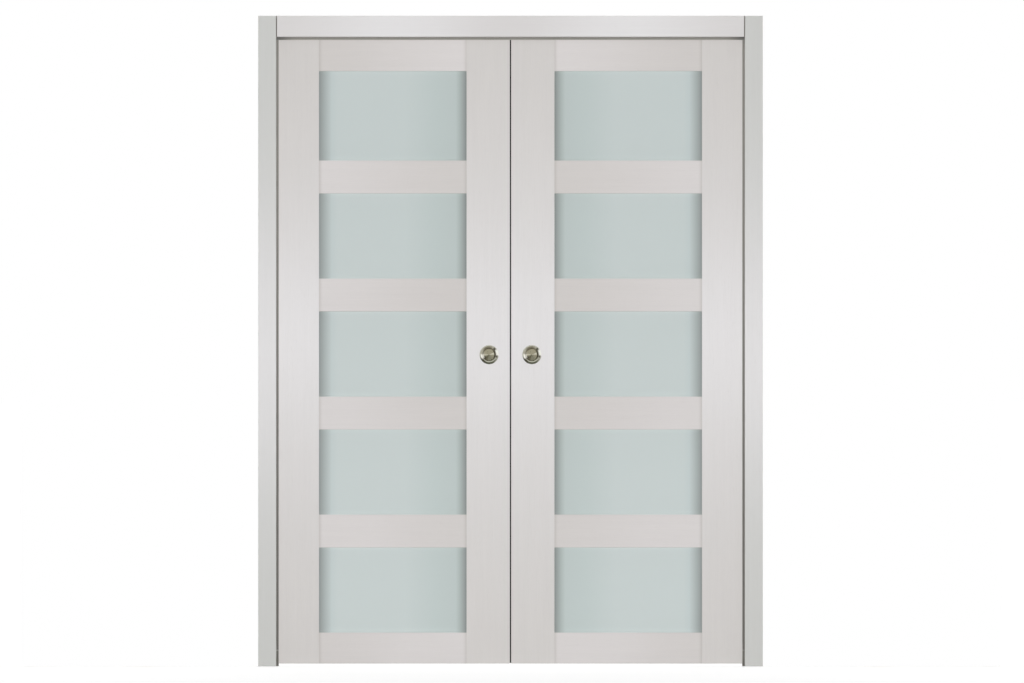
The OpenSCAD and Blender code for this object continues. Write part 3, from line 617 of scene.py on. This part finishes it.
def make_metals():
    """Spangled galvanised sheet, bright zinc plate and drawn aluminium."""
    finish = Finish("galvanised_steel", Metallic=1.0, Roughness=0.42)
    flakes = finish.add("ShaderNodeTexVoronoi", {"feature": "F1"}, Vector=finish.place, Scale=130.0,
                        Randomness=1.0)
    spangle = finish.add("ShaderNodeSeparateColor", Color=flakes.outputs["Color"]).outputs["Red"]
    stain = finish.noise((30, 30, 30), 3.0, 0.6, shift=131)
    finish.colour(finish.vary(finish.vary(tone(190, 194, 198), spangle, 0.07), stain, 0.06))
    finish.roughness(spangle, 0.0, 1.0, 0.34, 0.50)
    finish.on("stud_channels", "floor_brackets", "header_brackets")

    finish = Finish("zinc_plate", Metallic=1.0, Roughness=0.28)
    cast = finish.noise((60, 60, 60), 2.0, 0.5, shift=141)
    drawn = finish.noise((1500, 1500, 1500), 2.0, shift=143)
    finish.colour(finish.mix(finish.step(cast, 0.35, 0.7), tone(196, 198, 203), tone(206, 200, 180)))
    finish.roughness(drawn, 0.3, 0.7, 0.22, 0.36)
    finish.relief((drawn, 0.00001))
    finish.on("track_screws", *on_both_sides(
        "_hanger_plates", "_hanger_screws", "_hanger_bolts", "_trolleys", "_axles"))

    finish = Finish("extruded_aluminium", Metallic=1.0, Roughness=0.36)
    die = finish.noise((6, 900, 900), 2.0, 0.6, shift=151)
    finish.colour(finish.vary(tone(206, 208, 211), die, 0.05))
    finish.roughness(die, 0.3, 0.7, 0.30, 0.44)
    finish.relief((die, 0.00002))
    finish.on("track")


def make_nylon():
    finish = Finish("turned_nylon", Roughness=0.38, Specular_IOR_Level=0.5)
    grime = finish.noise((90, 90, 90), 3.0, 0.6, shift=161)
    finish.colour(finish.mix(finish.step(grime, 0.45, 0.8), tone(236, 234, 224), tone(206, 202, 190)))
    finish.relief((grime, 0.00002))
    finish.on(*on_both_sides("_wheels_1", "_wheels_2", "_wheels_3", "_wheels_4"))


def seen_directly(tree):
    """1 where the camera, a reflection or a refraction looks, 0 where light is gathered."""
    path = tree.nodes.new("ShaderNodeLightPath")
    total = path.outputs["Is Camera Ray"]
    for name in ("Is Glossy Ray", "Is Transmission Ray"):
        both = tree.nodes.new("ShaderNodeMath")
        both.operation = "MAXIMUM"
        tree.links.new(total, both.inputs[0])
        tree.links.new(path.outputs[name], both.inputs[1])
        total = both.outputs[0]
    return total


def make_world():
    """A white world that lights the object evenly at the ambient strength."""
    world = bpy.data.worlds.new("studio")
    bpy.context.scene.world = world
    world.use_nodes = True
    tree = world.node_tree
    background = tree.nodes["Background"]
    background.inputs["Color"].default_value = (1.0, 1.0, 1.0, 1.0)
    strength = tree.nodes.new("ShaderNodeMapRange")
    strength.inputs["To Min"].default_value = AMBIENT
    strength.inputs["To Max"].default_value = 1.0
    tree.links.new(seen_directly(tree), strength.inputs["Value"])
    tree.links.new(strength.outputs[0], background.inputs["Strength"])


def make_floor():
    """A white floor, just under the part, that keeps its shadow."""
    material = bpy.data.materials.new("floor_white")
    material.use_nodes = True
    tree = material.node_tree
    shader = tree.nodes["Principled BSDF"]
    shader.inputs["Base Color"].default_value = (0.90, 0.90, 0.90, 1.0)
    shader.inputs["Roughness"].default_value = 0.9
    shader.inputs["Specular IOR Level"].default_value = 0.0
    shader.inputs["Emission Color"].default_value = (1.0, 1.0, 1.0, 1.0)
    lift = tree.nodes.new("ShaderNodeMath")
    lift.operation = "MULTIPLY"
    lift.inputs[1].default_value = FLOOR_GLOW
    tree.links.new(seen_directly(tree), lift.inputs[0])
    tree.links.new(lift.outputs[0], shader.inputs["Emission Strength"])
    level = -0.0002
    corners = [(x * FLOOR_REACH, y * FLOOR_REACH, level)
               for x, y in ((-1, -1), (1, -1), (1, 1), (-1, 1))]
    mesh_piece("studio_floor", corners, [(0, 1, 2, 3)], material)


def make_wall():
    """The wall's front face round the doorway, which hides the pockets as the wallboard would.

    It is a white backdrop that only the camera sees, so it neither lights nor shades the object.
    """
    material = bpy.data.materials.new("wall_white")
    material.use_nodes = True
    tree = material.node_tree
    tree.nodes.remove(tree.nodes["Principled BSDF"])
    white = tree.nodes.new("ShaderNodeEmission")
    white.inputs["Strength"].default_value = 1.0
    tree.links.new(white.outputs[0], tree.nodes["Material Output"].inputs["Surface"])
    depth = CASING_HIGH.y + WALL_GAP
    outer_x, top = cad_box[1].x + WALL_MARGIN, cad_box[1].z + WALL_TOP_MARGIN
    inner_x, lintel = CASING_HIGH.x - WALL_LAP, HEAD_HIGH.z - WALL_LAP
    columns = (-outer_x, -inner_x, inner_x, outer_x)
    rows = (0.0, lintel, top)
    points = [(x, depth, z) for z in rows for x in columns]
    faces = [(0, 1, 5, 4), (2, 3, 7, 6), (4, 5, 9, 8), (5, 6, 10, 9), (6, 7, 11, 10)]
    wall = mesh_piece("studio_wall", points, faces, material)
    for kind in ("diffuse", "glossy", "transmission", "volume_scatter", "shadow"):
        setattr(wall, "visible_" + kind, False)


def make_sun(name, azimuth, elevation, spread, strength):
    """A far, soft lamp. Azimuth 0 shines from the front and 90 from the right, all in degrees.

    At strength 1 a surface that faces it looks as bright as its own colour. Metals reflect the
    white surroundings and not the lamp itself.
    """
    data = bpy.data.lights.new(name, "SUN")
    data.angle = math.radians(spread)
    data.energy = strength * math.pi
    lamp = bpy.data.objects.new(name, data)
    lamp.visible_glossy = False
    bpy.context.scene.collection.objects.link(lamp)
    around, up = math.radians(azimuth), math.radians(elevation)
    source = Vector((math.sin(around) * math.cos(up), -math.cos(around) * math.cos(up),
                        math.sin(up)))
    lamp.rotation_euler = source.to_track_quat("Z", "Y").to_euler()


def make_camera():
    width = PHOTO_W * METRES_PER_PIXEL
    data = bpy.data.cameras.new("photo_camera")
    data.sensor_width = SENSOR_MM
    data.lens = data.sensor_width * CAMERA_DISTANCE / width
    data.clip_end = SIGHT_END
    camera = bpy.data.objects.new("photo_camera", data)
    bpy.context.scene.collection.objects.link(camera)
    camera.location = ((PHOTO_W / 2 - MIDDLE_COLUMN) * METRES_PER_PIXEL,
                       CASING_LOW.y - CAMERA_DISTANCE,
                       (FLOOR_ROW - PHOTO_H / 2) * METRES_PER_PIXEL)
    camera.rotation_euler = (math.pi / 2, 0.0, 0.0)
    bpy.context.scene.camera = camera


make_camera()
make_veneers()
make_glass()
make_pulls()
make_seals()
make_meeting_piles()
make_rubber()
make_timber()
make_metals()
make_nylon()
make_world()
make_floor()
make_wall()
for sun in SUNS:
    make_sun(*sun)

bpy.context.scene.view_settings.view_transform = "Standard"
